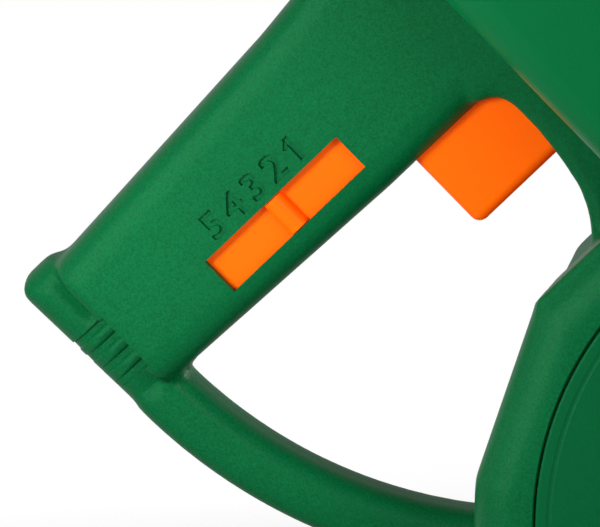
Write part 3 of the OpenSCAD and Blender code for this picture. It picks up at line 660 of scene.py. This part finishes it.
# The open hopper, moulded in one piece with a flat sloping rear wall and a rolled rim. It
# stands in the top of the housing and hooks under its edges. Its sizes are in metres too.
hopper_green = moulded_plastic("hopper_green", (0.001, 0.150, 0.042), (0.001, 0.138, 0.038), 0.24)
rim_top = 0.27
rim_foot = 0.264
rim_roll = 0.0011
sharp = 0.6
on_level = 0.00001
bin_form = cad_form("hopper")
top_edges = edges_within(bin_form, lambda place: place.z > rim_top - on_level)
round_edges(bin_form, [e for e in top_edges if e.calc_face_angle(0) > sharp], rim_roll, 4)
foot_edges = edges_within(bin_form, lambda place: abs(place.z - rim_foot) < on_level)
round_edges(bin_form, [e for e in foot_edges if e.is_convex and e.calc_face_angle(0) > sharp],
            rim_roll, 4)
show("hopper_bin", bin_form, hopper_green, "housing", "hopper_green", "hopper", angle=30)

# The pieces inside the body, all moulded in a duller green: the deck between the gears and
# the spinner, screwed to the housing, the chute that drops the grains on the spinner, and
# the frame under the hopper's floor that both plates slide in.
inner_green = moulded_plastic("inner_green", (0.006, 0.120, 0.045), (0.004, 0.100, 0.036), 0.42)


def soften(node, radius, material, slot, clamp=False):
    """Shows a CAD piece with its sharp edges rounded, by a radius in mm."""
    form = through(cad_form(node), ("BEVEL", {
        "width": radius / 1000, "segments": 3, "profile": 0.5, "affect": "EDGES",
        "material": -1, "limit_method": "ANGLE", "angle_limit": math.radians(35),
        "use_clamp_overlap": clamp}))
    show(node + "_piece", form, material, frame["nodes"][node]["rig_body"], slot, node)


soften("deck", 0.4, inner_green, "inner_green")
soften("chute", 0.3, inner_green, "inner_green")
soften("gate_guide", 0.3, inner_green, "inner_green")

# The bushes that the two shafts turn in: two in the right panel's long boss, a flanged one
# in the deck and one in the boss of the hopper's floor. They are of cream acetal, pressed in.
acetal = moulded_plastic("acetal", (0.68, 0.63, 0.50), (0.62, 0.57, 0.44), 0.34)
for node in ("crank_bushes", "lower_bush", "upper_bush"):
    soften(node, 0.2, acetal, "bush_cream")


# The shafts of the crank and the spinner, turned from plated steel, the crank's with a flat
# at each end, and the nut that holds the spinner on its shaft.
def plated_steel(name):
    """Bright steel with a fine grain in its gloss."""
    material, mix = new_material(name)
    where = mix.node("TexCoord", output="Object")
    grain = mix.node("TexNoise", {"Vector": where, "Scale": 700.0, "Detail": 4.0})
    surface = mix.node("BsdfPrincipled", {
        "Base Color": (0.62, 0.63, 0.65, 1), "Metallic": 1.0, "Roughness": grain * 0.2 + 0.2})
    mix.node("OutputMaterial", {"Surface": surface})
    return material


steel = plated_steel("steel")
for node in ("crank_shaft", "spinner_shaft", "spinner_nut"):
    soften(node, 0.2, steel, "steel")

# The crown gear on the crank's shaft and the pinion on the spinner's, moulded in natural
# nylon and pressed on. They turn the spinner five times for each turn of the crank.
nylon = moulded_plastic("nylon", (0.72, 0.72, 0.68), (0.66, 0.66, 0.61), 0.38)
soften("crown_gear", 0.12, nylon, "gear_white", clamp=True)
soften("pinion", 0.12, nylon, "gear_white")

# The spinner that throws the grains and the agitator that stirs them in the hopper, moulded
# in black plastic and fixed to the two ends of the spinner's shaft.
soft_black = moulded_plastic("soft_black", (0.016, 0.016, 0.017), (0.010, 0.010, 0.011), 0.4)
soften("spinner", 0.4, soft_black, "black_plastic")
soften("agitator", 0.3, soft_black, "black_plastic")

# The two plates that slide in the guide under the hopper's outlet: the shut-off gate, cut
# from plated steel and drawn back by the trigger's arm, and the metering plate, moulded in
# black plastic with a peg that follows the slider's cam slot.
soften("gate", 0.2, steel, "steel", clamp=True)
soften("rate_plate", 0.25, soft_black, "black_plastic", clamp=True)

# The trigger, moulded in bright orange with soft edges. Its stem, spring post and slotted arm
# run up inside the handle. The CAD solid's pad is taken off and a rounder one put in its place.
# The orange has a painted red glow as emission, so that it stays red where it lies in shade.
bright_orange = moulded_plastic("bright_orange", (0.95, 0.16, 0.001), (0.92, 0.15, 0.001), 0.24,
                                0.5, (0.28, 0.004, 0.0))
pad_half_width = 9
pad_foot = 121.8
pad_top = 146.2
pad_foot_rounding = 2.8
pad_rim_rounding = 2.7
in_handle = in_frame @ handle_frame
plain_pad = block((-33, -10, 120), (1.05, 10, 146))
arm = block((0.3, -2.52, 90), (6, 2.52, 147))
lever = joined((cad_form("trigger"), in_handle.inverted()))
lever = cut(lever, cut(plain_pad, arm))
pad = block((-32, -pad_half_width, pad_foot), (1, pad_half_width, pad_top))
foot_sides = [e for e in edges_within(pad, lambda place: place.z < pad_foot + 0.2)
              if along(e, "x") == 0]
round_edges(pad, foot_sides, pad_foot_rounding)
rims = [e for e in pad.edges if along(e, "y") == 0
        and any(v.co.z < pad_top - 0.2 for v in e.verts)]
round_edges(pad, rims, pad_rim_rounding, 6)
show("trigger_lever", joined((lever, in_handle), (pad, in_handle)), bright_orange,
     "trigger_body", "trigger_orange", "trigger", angle=40)

# The trigger's return spring, wound from steel wire. It stands on the trigger's post, which
# presses it together as the trigger is pulled; here it is shown in one shape only.
coil = cad_form("trigger_spring")
return_spring = show("return_spring", coil, steel, "housing", "spring_steel", "trigger_spring")
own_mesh(return_spring)

# The rate slider, moulded in the same orange: a strip behind the handle's wall, with a thumb
# ridge that stands in the slot. The CAD solid's ridge is replaced by a rounder, narrower one.
thumb_rounding = 2.6
plain_ridge = block((-75, -30, 140), (-52, -13.61, 175))
strip = cut(joined((cad_form("rate_slider"), in_handle.inverted())), plain_ridge)
bmesh.ops.remove_doubles(strip, verts=strip.verts, dist=0.03)
bmesh.ops.dissolve_limit(strip, angle_limit=math.radians(1), verts=strip.verts,
                         edges=strip.edges)
thumb_ridge = block((-66.3, -16.9, 152.75), (-60.7, -13.2, 162.65))
ridge_tops = [e for e in edges_within(thumb_ridge, lambda place: place.y < -16)
              if along(e, "x") == 0]
round_edges(thumb_ridge, ridge_tops, thumb_rounding)
show("slider_strip", joined((strip, in_handle), (thumb_ridge, in_handle)), bright_orange,
     "rate_body", "slider_orange", "rate_slider", angle=22)

# The click spring, bent from thin steel strip. It lies over the slider's five notches
# inside the handle and holds the slider at each number.
soften("detent_spring", 0.05, steel, "spring_steel")

# The crank: an arm moulded in the same orange that sits on the shaft's flats, and a black
# knob at its end, held by a shoulder rivet of plated steel that it turns on.
soften("crank_arm", 0.7, bright_orange, "crank_orange")
soften("knob", 0.3, soft_black, "knob_black", clamp=True)
soften("knob_pin", 0.2, steel, "steel")

# The screws, of plated steel: one in the end of the crank's shaft, and those that hold the
# two halves, the panels and the deck.
for node in ("crank_screw", "shell_screws", "cover_screws", "deck_screws"):
    soften(node, 0.1, steel, "steel")
